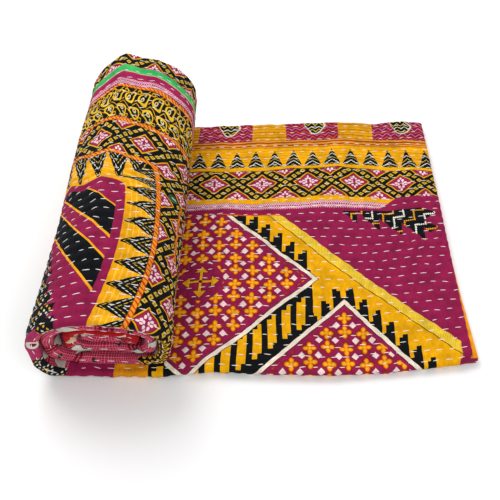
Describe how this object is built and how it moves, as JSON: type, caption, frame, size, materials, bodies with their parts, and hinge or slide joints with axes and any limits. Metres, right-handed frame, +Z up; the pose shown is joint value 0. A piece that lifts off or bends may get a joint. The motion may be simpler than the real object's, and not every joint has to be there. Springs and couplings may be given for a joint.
{
  "type": "rolled cotton quilt",
  "caption": "Hand-stitched cotton quilt, folded into a long strip of layers and rolled up from one end, with the other end lying flat.",
  "frame": {"origin": "middle of the bounding box on the surface that the quilt lies on", "axes": "+X along the strip from the roll to the flat end, +Y from the folded front edge to the open back edge, +Z up"},
  "size_m": [0.464, 0.392, 0.1189],
  "materials": {
    "printed_cotton": "matt hand-stitched cotton in layers, printed in plum, yellow and black"
  },
  "bodies": {
    "root": {"quilt": "printed_cotton"}
  },
  "joints": []
}
